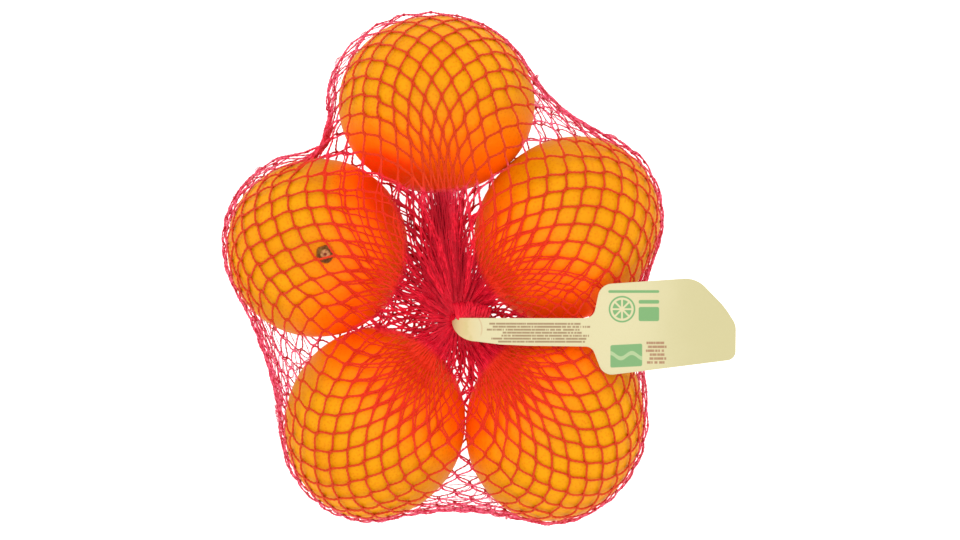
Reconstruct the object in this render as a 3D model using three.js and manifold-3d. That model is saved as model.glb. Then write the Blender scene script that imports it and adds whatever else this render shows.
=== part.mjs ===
// A net of five oranges, lying on its side with the gathered end and its label on top.
//
// Millimetres, +Z up. The origin is under the middle of the whole outline, on the floor.
// The net bag is one solid: the outer surface of the tube of netting, drawn tight round the
// five fruits and tied off at both ends. The label and the two crimped clips are pieces of
// their own.

import * as THREE from 'three';
import Module from 'manifold-3d';
import { mergeVertices } from 'three/addons/utils/BufferGeometryUtils.js';

// ---- Driving dimensions ----------------------------------------------------------------

// Five fruits: middle on the floor plan, half sizes along x, y and z, turn about z (radians).
const ORANGES = [
  { x: -17.4, y: 68.9, half: [40.9, 37.0, 38.3], turn: -0.03 },
  { x: 37.0, y: 17.0, half: [41.0, 36.5, 38.0], turn: 0.76 },
  { x: 31.9, y: -63.8, half: [36.9, 41.8, 37.6], turn: -0.28 },
  { x: -43.2, y: -64.2, half: [37.6, 39.9, 37.6], turn: -0.2 },
  { x: -67.3, y: 9.2, half: [37.8, 36.8, 36.6], turn: 0.17 },
];
const FRUIT_SQUASH = 0.4; // each round bottom settles this far into the floor plane
const PLACE = [0.6, -0.63]; // moves the middle of the whole outline onto the origin

// The netting: a tube of diamond cells.
const NET_COLUMNS = 48;
const NET_ROWS = 39;
const CELL_SIDE = 8.1;
const NET_STANDOFF = 1.3; // from the peel to the outside of the strands
const GATHER_RADIUS = 4.0;
const TOP_GATHER = [-8.6, -21.1, 47];
const BOTTOM_GATHER = [-15, 3, 20];

// Folds of loose netting hold it off the outer side of each fruit, at mid height: shift from
// the fruit's middle, growth over the fruit's half sizes, and half height.
const LOOSE_FOLDS = [
  { shift: [-3.5, 0.1], grow: 0.7, halfHeight: 18 },
  { shift: [-0.2, 1.2], grow: 0.3, halfHeight: 20 },
  { shift: [0.8, 0.6], grow: 0.2, halfHeight: 16 },
  { shift: [-0.9, 0.0], grow: 0.3, halfHeight: 16 },
  { shift: [-0.5, 2.6], grow: 0.3, halfHeight: 20 },
];

// Beside the top fruit the netting is tucked in, as by upright rods pressed in from outside.
const TUCKS = [
  { x: -76.6, y: 58.2, radius: 13.0 },
  { x: 45.2, y: 84.2, radius: 20.0 },
];
const TUCK_TRAVEL = 60;

// How the netting is drawn tight.
const PASSES = 2500;
const START_RADIUS = 125;
const START_HALF_HEIGHT = 55;
const SMOOTHING_START = 0.15; // on top of SMOOTHING_END, fading out over the first passes
const SMOOTHING_END = 0.012;
const SMOOTHING_FADE = 0.8; // share of the passes
const TUCK_TIME = 0.5; // share of the passes
const STRAND_STIFFNESS = 0.15; // how hard a slack side pushes back, against 1 for a stretched one

// The two tied ends: a neck, a waist under the clip, and a short tail of spare netting.
const TOP_TAIL = {
  stations: [
    { at: [-8.6, -21.1, 44], wide: 4.2, thick: 4.2 },
    { at: [-8.4, -21.3, 49], wide: 3.7, thick: 3.4 },
    { at: [-7.4, -22.0, 52.6], wide: 3.0, thick: 2.5 },
    { at: [-4.6, -23.3, 56.6], wide: 3.0, thick: 2.5 },
    { at: [-2.4, -23.3, 58.3], wide: 3.5, thick: 2.4 },
    { at: [-1.0, -21.2, 58.7], wide: 4.8, thick: 2.1 },
    { at: [-0.2, -17.6, 58.6], wide: 5.8, thick: 1.8 },
    { at: [0.6, -14.0, 58.0], wide: 6.2, thick: 1.5 },
  ],
  waist: 2,
};
const BOTTOM_TAIL = {
  stations: [
    { at: [-15, 3, 23], wide: 4.2, thick: 4.2 },
    { at: [-15, 3, 18.6], wide: 3.6, thick: 3.4 },
    { at: [-14.8, 3.1, 15.6], wide: 3.0, thick: 2.5 },
    { at: [-14.0, 3.4, 10.4], wide: 3.0, thick: 2.5 },
    { at: [-12.6, 4.0, 8.4], wide: 4.2, thick: 2.4 },
    { at: [-9.6, 5.2, 6.6], wide: 5.4, thick: 2.0 },
    { at: [-5.8, 6.6, 5.8], wide: 6.0, thick: 1.5 },
  ],
  waist: 2,
};
const TAIL_SIDES = 18;
const CLIP = { gap: 0.35, wall: 1.1, length: 4.2, easedEdge: 0.33, sides: 24 };

// The label: a strap that leaves the tied end in a quarter oval and widens to a paddle-shaped
// head. Each corner of the outline is x, y and how far back from it the rounding starts.
const LABEL_THICKNESS = 0.6;
const STRAP_AXIS_Y = -25.8;
const STRAP_WIDTH = 12.4;
const STRAP_TOP = STRAP_AXIS_Y + STRAP_WIDTH / 2;
const STRAP_LOW = STRAP_AXIS_Y - STRAP_WIDTH / 2;
const TIP = { x: -10.6, y: -21.2, sweepEnd: 4.5, shoulder: 2.2 };
const LABEL_CORNERS = [
  [46.4, STRAP_LOW, 2.5],
  [51.0, -43.4, 4.0],
  [105.5, -36.9, 3.2],
  [105.6, -22.6, 2.0],
  [100.7, -15.1, 3.0],
  [89.0, -3.4, 4.5],
  [49.8, -6.1, 4.2],
  [46.9, STRAP_TOP, 3.4],
];
// Height of the label's middle along its length: x, z.
const LABEL_PROFILE = [
  [-10.6, 55.4],
  [-8.8, 59.0],
  [-4.6, 62.2],
  [4.0, 63.8],
  [18.0, 65.8],
  [44.0, 68.1],
  [62.0, 68.5],
  [82.0, 66.5],
  [105.6, 61.8],
];
const PROFILE_SAMPLES = 240;
const LABEL_ROLL = 0.06; // slope across the head, up towards +Y
const LABEL_GRID = [2.4, 4.8]; // cells of the bent sheet
const LABEL_REACH = 4; // the sheet runs this far past the outline before it is trimmed
const CORNER_STEPS = 6;

const FLOOR_BLOCK = [400, 400, 20]; // trims the bag flat at the floor plane
const CUTTER_HEIGHT = 100;

// ---- Solids from triangles -------------------------------------------------------------

const wasm = await Module();
wasm.setup();

function solidOf(geometry) {
  const bare = geometry.clone();
  bare.deleteAttribute('normal');
  bare.deleteAttribute('uv');
  const merged = mergeVertices(bare, 1e-5);
  return new wasm.Manifold(
    new wasm.Mesh({
      numProp: 3,
      vertProperties: new Float32Array(merged.attributes.position.array),
      triVerts: new Uint32Array(merged.index.array),
    }),
  );
}

function geometryOf(solid) {
  const mesh = solid.getMesh();
  const geometry = new THREE.BufferGeometry();
  geometry.setAttribute('position', new THREE.Float32BufferAttribute(mesh.vertProperties, 3));
  geometry.setIndex([...mesh.triVerts]);
  geometry.computeVertexNormals();
  return geometry;
}

function indexedGeometry(points, triangles) {
  const geometry = new THREE.BufferGeometry();
  geometry.setAttribute('position', new THREE.Float32BufferAttribute(points.flat(), 3));
  geometry.setIndex(triangles.flat());
  return geometry;
}

// ---- The netting, drawn tight ----------------------------------------------------------

const fruits = ORANGES.map((fruit) => ({
  centre: [fruit.x, fruit.y, fruit.half[2] - FRUIT_SQUASH],
  half: fruit.half,
  turn: fruit.turn,
}));

const folds = LOOSE_FOLDS.map(({ shift, grow, halfHeight }, k) => {
  const { centre, half, turn } = fruits[k];
  return {
    centre: [centre[0] + shift[0], centre[1] + shift[1], centre[2]],
    half: [half[0] + grow, half[1] + grow, halfHeight],
    turn,
  };
});

// Column and row of a joint to its place in the flat array. Odd rows lie half a cell along.
const place = (row, column) => 3 * (row * NET_COLUMNS + ((column + NET_COLUMNS) % NET_COLUMNS));
const angleOf = (row, column) => (2 * Math.PI * (column + 0.5 * (row % 2))) / NET_COLUMNS;
const slantedColumn = (row, column) => (row % 2 === 0 ? column - 1 : column + 1);

const middle = [0, 1].map((k) => fruits.reduce((sum, f) => sum + f.centre[k], 0) / fruits.length);

function startingNet() {
  const midHeight = fruits[0].centre[2];
  const joints = new Float64Array(3 * NET_COLUMNS * (NET_ROWS + 1));
  for (let row = 0; row <= NET_ROWS; row++) {
    const t = row / NET_ROWS;
    const bulge = Math.sin(Math.PI * t);
    for (let column = 0; column < NET_COLUMNS; column++) {
      const angle = angleOf(row, column);
      const at = place(row, column);
      const axisX = TOP_GATHER[0] * (1 - t) + BOTTOM_GATHER[0] * t;
      const axisY = TOP_GATHER[1] * (1 - t) + BOTTOM_GATHER[1] * t;
      joints[at] = axisX * (1 - bulge) + bulge * (middle[0] + START_RADIUS * Math.cos(angle));
      joints[at + 1] = axisY * (1 - bulge) + bulge * (middle[1] + START_RADIUS * Math.sin(angle));
      joints[at + 2] = midHeight + START_HALF_HEIGHT * Math.cos(Math.PI * t);
    }
  }
  return joints;
}

function holdEnds(joints) {
  for (const [row, gather] of [[0, TOP_GATHER], [NET_ROWS, BOTTOM_GATHER]]) {
    for (let column = 0; column < NET_COLUMNS; column++) {
      const angle = angleOf(row, column);
      const at = place(row, column);
      joints[at] = gather[0] + GATHER_RADIUS * Math.cos(angle);
      joints[at + 1] = gather[1] + GATHER_RADIUS * Math.sin(angle);
      joints[at + 2] = gather[2];
    }
  }
}

// Each joint moves a little towards the middle of its four neighbours.
function smooth(joints, amount) {
  const before = joints.slice();
  for (let row = 1; row < NET_ROWS; row++) {
    for (let column = 0; column < NET_COLUMNS; column++) {
      const slanted = slantedColumn(row, column);
      const around = [
        place(row - 1, column),
        place(row + 1, column),
        place(row - 1, slanted),
        place(row + 1, slanted),
      ];
      const at = place(row, column);
      for (let k = 0; k < 3; k++) {
        const mean = around.reduce((sum, other) => sum + before[other + k], 0) / 4;
        joints[at + k] += amount * (mean - before[at + k]);
      }
    }
  }
}

// Each side of a cell is brought back towards its length: half the error at each end.
function keepSideLengths(joints) {
  for (const parity of [0, 1]) {
    for (const slants of [false, true]) {
      for (let row = parity; row < NET_ROWS; row += 2) {
        for (let column = 0; column < NET_COLUMNS; column++) {
          const a = place(row, column);
          const b = place(row + 1, slants ? slantedColumn(row, column) : column);
          const dx = joints[b] - joints[a];
          const dy = joints[b + 1] - joints[a + 1];
          const dz = joints[b + 2] - joints[a + 2];
          const length = Math.max(Math.hypot(dx, dy, dz), 1e-6);
          const error = (length - CELL_SIDE) / length;
          const share = error > 0 ? 0.5 * error : 0.5 * STRAND_STIFFNESS * error;
          joints[a] += dx * share;
          joints[a + 1] += dy * share;
          joints[a + 2] += dz * share;
          joints[b] -= dx * share;
          joints[b + 1] -= dy * share;
          joints[b + 2] -= dz * share;
        }
      }
    }
  }
}

// Joints inside an egg-shaped body move straight out to its surface.
function pushOut(joints, body, margin) {
  const cos = Math.cos(body.turn);
  const sin = Math.sin(body.turn);
  const [halfX, halfY, halfZ] = body.half.map((half) => half + margin);
  for (let at = 0; at < joints.length; at += 3) {
    const dx = joints[at] - body.centre[0];
    const dy = joints[at + 1] - body.centre[1];
    const u = (dx * cos + dy * sin) / halfX;
    const v = (-dx * sin + dy * cos) / halfY;
    const w = (joints[at + 2] - body.centre[2]) / halfZ;
    const depth = Math.hypot(u, v, w);
    if (depth < 1) {
      const x = (u / depth) * halfX;
      const y = (v / depth) * halfY;
      joints[at] = body.centre[0] + x * cos - y * sin;
      joints[at + 1] = body.centre[1] + x * sin + y * cos;
      joints[at + 2] = body.centre[2] + (w / depth) * halfZ;
    }
  }
}

// A rod that is still some way out from its last place, seen from the middle of the bag.
function tuckIn(joints, rod, stillOut) {
  const away = Math.hypot(rod.x - middle[0], rod.y - middle[1]);
  const rodX = rod.x + ((rod.x - middle[0]) / away) * stillOut;
  const rodY = rod.y + ((rod.y - middle[1]) / away) * stillOut;
  for (let at = 0; at < joints.length; at += 3) {
    const dx = joints[at] - rodX;
    const dy = joints[at + 1] - rodY;
    const distance = Math.hypot(dx, dy);
    if (distance < rod.radius) {
      joints[at] = rodX + (dx / distance) * rod.radius;
      joints[at + 1] = rodY + (dy / distance) * rod.radius;
    }
  }
}

function tightNet() {
  const joints = startingNet();
  holdEnds(joints);
  for (let pass = 0; pass < PASSES; pass++) {
    const done = pass / PASSES;
    smooth(joints, SMOOTHING_END + SMOOTHING_START * Math.max(0, 1 - done / SMOOTHING_FADE));
    keepSideLengths(joints);
    const stillOut = TUCK_TRAVEL * Math.max(0, 1 - done / TUCK_TIME);
    TUCKS.forEach((rod) => tuckIn(joints, rod, stillOut));
    [...fruits, ...folds].forEach((body) => pushOut(joints, body, NET_STANDOFF));
    holdEnds(joints);
  }
  return joints;
}

// The tube's outer surface, two triangles to a cell, with both ends closed by a fan.
function netShell(joints) {
  const points = [];
  for (let at = 0; at < joints.length; at += 3) points.push([joints[at], joints[at + 1], joints[at + 2]]);
  const top = points.length;
  const bottom = top + 1;
  points.push(TOP_GATHER, BOTTOM_GATHER);
  const id = (row, column) => place(row, column) / 3;
  const triangles = [];
  for (let column = 0; column < NET_COLUMNS; column++) {
    for (let row = 0; row < NET_ROWS; row++) {
      const odd = row % 2;
      triangles.push([id(row, column - odd), id(row + 1, column), id(row, column + 1 - odd)]);
      triangles.push([id(row + 1, column - 1 + odd), id(row + 1, column + odd), id(row, column)]);
    }
    triangles.push([top, id(0, column), id(0, column + 1)]);
    triangles.push([bottom, id(NET_ROWS, column + 1), id(NET_ROWS, column)]);
  }
  return indexedGeometry(points, triangles);
}

// ---- The tied ends ---------------------------------------------------------------------

// Directions at one station: along the path, level across it, and square to both. The two
// stations of the waist share the direction of the straight stretch between them.
function directionsAt({ stations, waist }, k) {
  const spot = (index) => new THREE.Vector3(...stations[index].at);
  const inWaist = k === waist || k === waist + 1;
  const before = inWaist ? waist : Math.max(k - 1, 0);
  const after = inWaist ? waist + 1 : Math.min(k + 1, stations.length - 1);
  const along = spot(after).sub(spot(before)).normalize();
  const reach = spot(stations.length - 1).sub(spot(0));
  const across = new THREE.Vector3(-reach.y, reach.x, 0).normalize();
  across.addScaledVector(along, -across.dot(along)).normalize();
  return { along, across, third: new THREE.Vector3().crossVectors(across, along) };
}

// Oval rings square to a bent path, joined into one closed skin.
function tailGeometry(tail) {
  const { stations } = tail;
  const points = [];
  const triangles = [];
  stations.forEach((station, k) => {
    const { across, third } = directionsAt(tail, k);
    for (let side = 0; side < TAIL_SIDES; side++) {
      const angle = (-2 * Math.PI * side) / TAIL_SIDES;
      const point = new THREE.Vector3(...station.at)
        .addScaledVector(across, station.wide * Math.cos(angle))
        .addScaledVector(third, station.thick * Math.sin(angle));
      points.push(point.toArray());
    }
  });
  for (let k = 0; k + 1 < stations.length; k++) {
    for (let side = 0; side < TAIL_SIDES; side++) {
      const next = (side + 1) % TAIL_SIDES;
      const [a, b] = [k * TAIL_SIDES + side, k * TAIL_SIDES + next];
      triangles.push([a, b, b + TAIL_SIDES], [a, b + TAIL_SIDES, a + TAIL_SIDES]);
    }
  }
  const last = (stations.length - 1) * TAIL_SIDES;
  points.push(stations[0].at, stations[stations.length - 1].at);
  for (let side = 0; side < TAIL_SIDES; side++) {
    const next = (side + 1) % TAIL_SIDES;
    triangles.push([points.length - 2, next, side], [points.length - 1, last + side, last + next]);
  }
  return indexedGeometry(points, triangles);
}

// A soft metal band pressed oval round the waist, with its edges eased.
function clipGeometry(tail) {
  const from = tail.stations[tail.waist];
  const to = tail.stations[tail.waist + 1];
  const inner = from.wide + CLIP.gap;
  const outer = inner + CLIP.wall;
  const half = CLIP.length / 2;
  const ease = CLIP.easedEdge;
  const profile = [
    [inner, -half],
    [outer - ease, -half],
    [outer, -half + ease],
    [outer, half - ease],
    [outer - ease, half],
    [inner, half],
    [inner, -half],
  ].map(([r, y]) => new THREE.Vector2(r, y));
  const band = new THREE.LatheGeometry(profile, CLIP.sides);
  band.scale(1, 1, (from.thick + CLIP.gap) / inner);
  const { along, across, third } = directionsAt(tail, tail.waist);
  const middle = new THREE.Vector3(...from.at).add(new THREE.Vector3(...to.at)).multiplyScalar(0.5);
  band.applyMatrix4(new THREE.Matrix4().makeBasis(across, along, third).setPosition(middle));
  return band;
}

// ---- The label -------------------------------------------------------------------------

// A shape with each corner cut back and rounded.
function labelOutline() {
  const shape = new THREE.Shape();
  shape.moveTo(TIP.x, TIP.y);
  const reach = TIP.sweepEnd - TIP.x;
  shape.absellipse(TIP.sweepEnd, TIP.y, reach, TIP.y - STRAP_LOW, Math.PI, 1.5 * Math.PI);
  const stops = [
    new THREE.Vector2(TIP.sweepEnd, STRAP_LOW),
    ...LABEL_CORNERS.map(([x, y]) => new THREE.Vector2(x, y)),
    new THREE.Vector2(TIP.x + TIP.shoulder, STRAP_TOP),
  ];
  LABEL_CORNERS.forEach(([x, y, back], k) => {
    const corner = new THREE.Vector2(x, y);
    const enter = stops[k].clone().sub(corner).setLength(back).add(corner);
    const leave = stops[k + 2].clone().sub(corner).setLength(back).add(corner);
    shape.lineTo(enter.x, enter.y);
    shape.quadraticCurveTo(corner.x, corner.y, leave.x, leave.y);
  });
  shape.lineTo(TIP.x + TIP.shoulder, STRAP_TOP);
  return shape;
}

const labelProfile = new THREE.CatmullRomCurve3(
  LABEL_PROFILE.map(([x, z]) => new THREE.Vector3(x, 0, z)),
).getPoints(PROFILE_SAMPLES);

function labelHeight(x, y) {
  const after = labelProfile.findIndex((point) => point.x >= x);
  const [first, last] = [labelProfile[0], labelProfile[PROFILE_SAMPLES]];
  let height = last.z;
  if (after === 0) {
    height = first.z;
  } else if (after > 0) {
    const [low, high] = [labelProfile[after - 1], labelProfile[after]];
    height = THREE.MathUtils.mapLinear(x, low.x, high.x, low.z, high.z);
  }
  const towardsHead = THREE.MathUtils.clamp(x / LABEL_CORNERS[0][0], 0, 1);
  return height + LABEL_ROLL * towardsHead * (y - STRAP_AXIS_Y);
}

// A bent sheet on a grid, trimmed to the outline.
function labelGeometry() {
  const corners = new THREE.Box2().setFromPoints([
    new THREE.Vector2(TIP.x, TIP.y),
    ...LABEL_CORNERS.map(([x, y]) => new THREE.Vector2(x, y)),
  ]);
  corners.expandByScalar(LABEL_REACH);
  const size = corners.getSize(new THREE.Vector2());
  const middle = corners.getCenter(new THREE.Vector2());
  const steps = [size.x / LABEL_GRID[0], size.y / LABEL_GRID[1]].map(Math.round);
  const sheet = new THREE.BoxGeometry(size.x, size.y, LABEL_THICKNESS, ...steps, 1);
  sheet.translate(middle.x, middle.y, 0);
  const spots = sheet.attributes.position;
  for (let k = 0; k < spots.count; k++) {
    spots.setZ(k, spots.getZ(k) + labelHeight(spots.getX(k), spots.getY(k)));
  }
  const cutter = new THREE.ExtrudeGeometry(labelOutline(), {
    depth: CUTTER_HEIGHT,
    bevelEnabled: false,
    curveSegments: CORNER_STEPS,
  });
  return geometryOf(solidOf(sheet).intersect(solidOf(cutter)));
}

// ---- Assembly --------------------------------------------------------------------------

function netBagGeometry() {
  const floor = new THREE.BoxGeometry(...FLOOR_BLOCK);
  floor.translate(0, 0, -FLOOR_BLOCK[2] / 2);
  const bag = solidOf(netShell(tightNet()))
    .add(solidOf(tailGeometry(TOP_TAIL)))
    .add(solidOf(tailGeometry(BOTTOM_TAIL)));
  return geometryOf(bag.subtract(solidOf(floor)));
}

function piece(name, geometry, colour, roughness, metalness = 0) {
  const material = new THREE.MeshStandardMaterial({ color: colour, roughness, metalness });
  const mesh = new THREE.Mesh(geometry, material);
  mesh.name = name;
  return mesh;
}

const group = new THREE.Group();
group.add(
  piece('net_bag', netBagGeometry(), 0xe8520f, 0.5),
  piece('top_clip', clipGeometry(TOP_TAIL), 0xb9bcc0, 0.35, 1),
  piece('bottom_clip', clipGeometry(BOTTOM_TAIL), 0xb9bcc0, 0.35, 1),
  piece('label', labelGeometry(), 0xe6dcab, 0.6),
);

group.position.set(...PLACE, 0);

export default group;
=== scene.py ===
"""A net of five oranges, lying flat, with one tied end and its card label on top."""

import math

import bpy
import numpy as np
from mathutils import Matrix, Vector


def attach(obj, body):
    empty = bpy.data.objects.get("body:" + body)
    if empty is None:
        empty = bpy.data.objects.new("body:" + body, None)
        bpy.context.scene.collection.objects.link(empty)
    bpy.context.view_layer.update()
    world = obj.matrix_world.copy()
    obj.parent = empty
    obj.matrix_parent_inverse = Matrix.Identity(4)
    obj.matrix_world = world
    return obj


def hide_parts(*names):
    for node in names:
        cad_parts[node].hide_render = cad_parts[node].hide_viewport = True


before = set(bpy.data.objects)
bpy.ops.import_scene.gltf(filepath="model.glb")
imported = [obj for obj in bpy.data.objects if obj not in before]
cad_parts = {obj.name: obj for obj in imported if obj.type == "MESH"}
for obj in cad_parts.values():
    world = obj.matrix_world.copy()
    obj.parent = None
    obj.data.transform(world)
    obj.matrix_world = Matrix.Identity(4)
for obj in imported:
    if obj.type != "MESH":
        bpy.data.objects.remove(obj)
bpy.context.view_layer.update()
bpy.ops.object.select_all(action="DESELECT")

# ---- Five oranges ------------------------------------------------------------------------------
# Fresh fruit, 73 to 84 mm across and none quite round. The peel is oily and finely pitted, with
# a shallow dip round the stem and a smaller one at the far end.

MM = 0.001
PLACE = np.array([0.6, -0.63, 0.0])  # the same shift as the frame's solids have
TOP_GATHER = np.array([-8.6, -21.1, 47.0])  # the net's tied end on top
FRUIT_SQUASH = 0.4
FRUITS = {  # middle x, y; half sizes along x, y, z; turn about z; where the stem points
    "top": ((-17.4, 68.9), (40.9, 37.0, 38.3), -0.03, (0.35, 0.85, -0.3)),
    "right": ((37.0, 17.0), (41.0, 36.5, 38.0), 0.76, (0.9, 0.25, -0.25)),
    "low_right": ((31.9, -63.8), (36.9, 41.8, 37.6), -0.28, (0.5, -0.75, -0.35)),
    "low_left": ((-43.2, -64.2), (37.6, 39.9, 37.6), -0.2, (-0.6, -0.7, -0.3)),
    "left": ((-67.3, 9.0), (37.8, 37.2, 36.6), 0.17, (0.116, -0.097, 0.989)),
}
FRUIT_DETAIL = 7  # icosphere subdivisions
STEM_DIP = 0.045  # of the radius
STEM_DIP_REACH = 0.42
FAR_DIP = 0.02
FAR_DIP_REACH = 0.7 * STEM_DIP_REACH
LUMPS = (34.0, 1.1)  # size and height in millimetres
PITS = (1.9, 0.16)
FRUIT_REST = 1.4  # the strands underneath hold the peel this far off the floor
# Painted shade: the peel is painted redder in narrow gaps between fruits, under the label and the
# bunched netting, for the shade and the red light from the netting there.
RED_SHADE_SPOTS = [  # narrow gaps, where the peel looks reddest: x, y, z, how much redder
    (-39.0, 35.0, 52.0, 1.3),
    (44.0, -17.0, 52.0, 0.8),
]
RED_SHADE_REACH = 20.0


def piece_points(piece):
    points = np.empty(3 * len(piece.data.vertices))
    piece.data.vertices.foreach_get("co", points)
    return points.reshape(-1, 3)


def set_piece_points(piece, points):
    piece.data.vertices.foreach_set("co", np.ascontiguousarray(points, float).ravel())
    piece.data.update()


def set_attribute(mesh, name, values):
    attribute = mesh.attributes.new(name, "FLOAT", "POINT")
    attribute.data.foreach_set("value", values)


def unit(vectors):
    return vectors / np.maximum(np.linalg.norm(vectors, axis=-1, keepdims=True), 1e-9)


def fruit_middle(middle, half):
    """The middle of a fruit that stands on the floor, pressed a little flat there."""
    return np.array([*middle, half[2] - FRUIT_SQUASH])


def set_in_place():
    """The object goes back to the origin and its place goes into its mesh."""
    bpy.ops.object.transform_apply(location=True, rotation=True, scale=True)


def apply_displacement(piece, pattern, size, strength):
    texture = bpy.data.textures.new(f"{piece.name}_{pattern.lower()}", pattern)
    texture.noise_scale = size * MM
    bump = piece.modifiers.new("relief", "DISPLACE")
    bump.texture = texture
    bump.texture_coords = "LOCAL"
    bump.strength = strength * MM
    bump.mid_level = 0.5
    bpy.ops.object.modifier_apply(modifier=bump.name)


def select_none(kind):
    """Nothing stays selected, and what is picked next is of this kind."""
    bpy.ops.object.mode_set(mode="EDIT")
    bpy.ops.mesh.select_mode(type=kind)
    bpy.ops.mesh.select_all(action="DESELECT")
    bpy.ops.object.mode_set(mode="OBJECT")


def press_pole(direction, depth, reach):
    """Pushes the pole of a unit ball in, and what is round it less and less."""
    select_none("VERT")
    ball = bpy.context.object
    heights = piece_points(ball)[:, 2] * direction
    ball.data.vertices[int(heights.argmax())].select = True
    bpy.ops.object.mode_set(mode="EDIT")
    bpy.ops.transform.translate(
        value=(0, 0, -direction * depth),
        use_proportional_edit=True,
        proportional_edit_falloff="SMOOTH",
        proportional_size=reach,
    )
    bpy.ops.object.mode_set(mode="OBJECT")


def turn_to(direction):
    """The turn that takes +Z to a direction."""
    aim = Vector(direction).normalized()
    return Vector((0, 0, 1)).rotation_difference(aim).to_euler()


def orange(name, middle, half, turn, stem):
    """A ball with two dips, drawn out to its size, lumpy and pitted, and flat where it rests."""
    bpy.ops.mesh.primitive_ico_sphere_add(subdivisions=FRUIT_DETAIL, radius=1)
    fruit = bpy.context.object
    fruit.name = fruit.data.name = name
    press_pole(1, STEM_DIP, STEM_DIP_REACH)
    press_pole(-1, FAR_DIP, FAR_DIP_REACH)
    fruit.rotation_euler = turn_to(stem)
    set_in_place()
    fruit.scale = [side * MM for side in half]
    set_in_place()
    fruit.rotation_euler = (0, 0, turn)
    centre = (fruit_middle(middle, half) + PLACE) * MM
    fruit.location = centre
    set_in_place()
    apply_displacement(fruit, "CLOUDS", *LUMPS)
    apply_displacement(fruit, "VORONOI", *PITS)
    points = piece_points(fruit)
    points[:, 2] = np.maximum(points[:, 2], FRUIT_REST * MM)
    set_piece_points(fruit, points)
    # gather_side: how much the peel faces the tied end, plus the narrow gaps. It masks the painted red
    # shade and the painted glow of the peel.
    facing = unit(points - centre) @ unit((TOP_GATHER + PLACE) * MM - centre)
    for *spot, redder in RED_SHADE_SPOTS:
        away = np.linalg.norm(points / MM - PLACE - spot, axis=1) / RED_SHADE_REACH
        facing += redder * np.exp(-(away**2))
    set_attribute(fruit.data, "gather_side", facing)
    bpy.ops.object.shade_smooth()
    return fruit


class Wire:
    """One socket of a material, so that shader maths reads as plain sums."""

    def __init__(self, nodes, socket):
        self.nodes = nodes
        self.socket = socket

    def node(self, kind, settings=None, output=0, **inputs):
        """A new node. Its sockets are given by name, or as _0, _1 and so on by number."""
        made = self.nodes.new(kind)
        for setting, value in (settings or {}).items():
            setattr(made, setting, value)
        for socket, value in inputs.items():
            found = made.inputs[int(socket[1:])] if socket[0] == "_" else made.inputs[socket]
            if isinstance(value, Wire):
                self.nodes.id_data.links.new(value.socket, found)
            else:
                found.default_value = value
        return Wire(self.nodes, made.outputs[output])

    def maths(self, operation, *others):
        inputs = {f"_{k}": value for k, value in enumerate((self, *others))}
        return self.node("ShaderNodeMath", {"operation": operation}, **inputs)

    def __add__(self, other):
        return self.maths("ADD", other)

    def __sub__(self, other):
        return self.maths("SUBTRACT", other)

    def __rsub__(self, other):
        return self.node("ShaderNodeMath", {"operation": "SUBTRACT"}, _0=other, _1=self)

    def __mul__(self, other):
        return self.maths("MULTIPLY", other)

    def __truediv__(self, other):
        return self.maths("DIVIDE", other)

    __radd__ = __add__
    __rmul__ = __mul__

    def ramp(self, low, high):
        """0 at low and 1 at high, whichever of them is the greater, with eased ends."""
        return self.node(
            "ShaderNodeMapRange",
            {"interpolation_type": "SMOOTHSTEP"},
            _0=self,
            _1=low,
            _2=high,
        )

    def mix(self, below, above):
        """below where this wire is 0, above where it is 1."""
        return self.node("ShaderNodeMix", {"data_type": "RGBA"}, output=2, _0=self, _6=below, _7=above)

    def noise(self, scale, detail=2.0):
        return self.node("ShaderNodeTexNoise", Vector=self, Scale=scale, Detail=detail)

    def bump(self, strength, distance, height):
        return self.node("ShaderNodeBump", Strength=strength, Distance=distance, Height=height)

    def attribute(self, name):
        return self.node("ShaderNodeAttribute", {"attribute_name": name}, output=2)


def colour_of(red, green, blue):
    """Screen colour, 0 to 255, to the shader's own."""
    parts = [part / 255 for part in (red, green, blue)]
    return (*[c / 12.92 if c < 0.04045 else ((c + 0.055) / 1.055) ** 2.4 for c in parts], 1)


def new_material(name, **constants):
    """A material with constants on its shader's own sockets, and a wire from Object coordinates."""
    material = bpy.data.materials.new(name)
    material.use_nodes = True
    shader = material.node_tree.nodes["Principled BSDF"]
    for socket, value in constants.items():
        shader.inputs[socket.replace("_", " ")].default_value = value
    nodes = material.node_tree.nodes
    return material, Wire(nodes, nodes.new("ShaderNodeTexCoord").outputs["Object"])


def feed(material, **wires):
    shader = material.node_tree.nodes["Principled BSDF"]
    for socket, wire in wires.items():
        material.node_tree.links.new(wire.socket, shader.inputs[socket.replace("_", " ")])


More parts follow.
